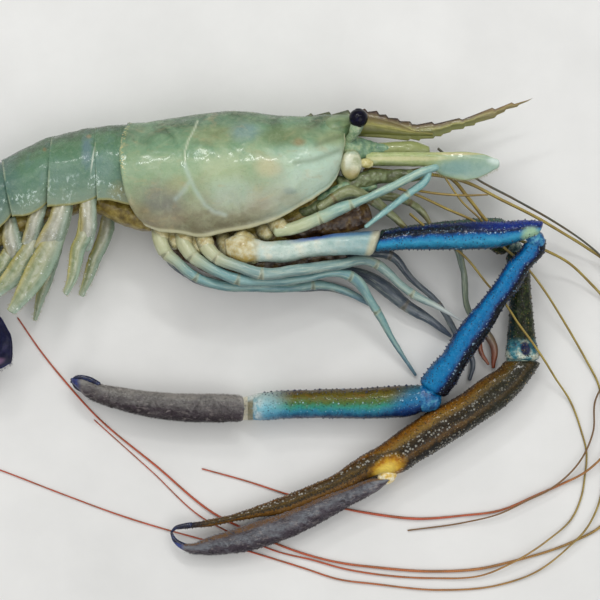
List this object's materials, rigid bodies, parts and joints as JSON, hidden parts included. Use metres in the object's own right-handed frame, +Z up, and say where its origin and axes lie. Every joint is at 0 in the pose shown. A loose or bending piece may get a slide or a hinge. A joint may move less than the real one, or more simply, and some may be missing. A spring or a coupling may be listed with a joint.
{
  "type": "raw river prawn",
  "caption": "Whole raw river prawn lying on its side, with a toothed rostrum, long blue and brown claws, thin feelers and a curled tail.",
  "frame": {"origin": "on the flat rest spot of the carapace's left flank, about the middle of the carapace", "axes": "+X towards the head and the rostrum, +Y towards the back, +Z up from the surface it lies on, out of its right flank"},
  "size_m": [0.2392, 0.1583, 0.0325],
  "materials": {
    "shell_green": "wet smooth shell, grey-green, paler towards the belly",
    "tail_green": "wet smooth shell, dull green-teal",
    "claw_blue": "wet shell, strong blue, rough with small points",
    "claw_brown": "wet shell, dark olive brown, rough with small points",
    "claw_fur": "dark grey-brown felt of short hairs over shell",
    "leg_pale": "wet thin shell, pale blue-grey",
    "leg_grey": "wet thin shell, violet-grey",
    "feeler_amber": "thin ringed thread, amber to red-orange",
    "eye_black": "wet near-black bulb on a stalk",
    "flesh_olive": "moist olive-yellow flesh under the shell",
    "swimmeret_yellow": "wet thin blade, yellow-green",
    "fan_navy": "wet thin blade, dark navy",
    "scale_pale": "wet thin plate, pale yellow-green"
  },
  "bodies": {
    "root": {"antenna_root_left": "leg_pale", "antenna_root_right": "leg_pale", "antenna_scale_left": "scale_pale", "antenna_scale_right": "scale_pale", "antennule_stalk": "shell_green", "belly": "flesh_olive", "carapace": "shell_green", "claw_arm_left": "claw_brown", "claw_arm_right": "claw_blue", "claw_base_left": "leg_pale", "claw_base_right": "leg_pale", "claw_finger_left": "claw_fur", "claw_finger_right": "claw_fur", "claw_palm_left": "claw_brown", "claw_palm_right": "claw_blue", "claw_wrist_left": "claw_brown", "claw_wrist_right": "claw_blue", "eye_left": "eye_black", "eye_right": "eye_black", "feeler_inner_left": "feeler_amber", "feeler_inner_right": "feeler_amber", "feeler_long_left": "feeler_amber", "feeler_long_right": "feeler_amber", "feeler_short_dark": "feeler_amber", "feeler_short_left": "feeler_amber", "feeler_short_right": "feeler_amber", "first_leg_left": "leg_pale", "first_leg_right": "leg_pale", "head_flesh": "flesh_olive", "leg_3_left": "leg_grey", "leg_3_right": "leg_pale", "leg_4_left": "leg_grey", "leg_4_right": "leg_pale", "leg_5_left": "leg_grey", "leg_5_right": "leg_pale", "mouth_leg_left": "flesh_olive", "mouth_leg_right": "flesh_olive", "swimmeret_1_left": "swimmeret_yellow", "swimmeret_1_right": "swimmeret_yellow", "swimmeret_2_left": "swimmeret_yellow", "swimmeret_2_right": "swimmeret_yellow", "swimmeret_3_left": "swimmeret_yellow", "swimmeret_3_right": "swimmeret_yellow", "swimmeret_4_left": "swimmeret_yellow", "swimmeret_4_right": "swimmeret_yellow", "swimmeret_5_left": "swimmeret_yellow", "swimmeret_5_right": "swimmeret_yellow", "tail_fan_left_inner": "fan_navy", "tail_fan_left_outer": "fan_navy", "tail_fan_right_inner": "fan_navy", "tail_fan_right_outer": "fan_navy", "tail_segment_1": "tail_green", "tail_segment_2": "tail_green", "tail_segment_3": "tail_green", "tail_segment_4": "tail_green", "tail_segment_5": "tail_green", "tail_segment_6": "tail_green", "telson": "fan_navy", "thorax": "flesh_olive"}
  },
  "joints": []
}
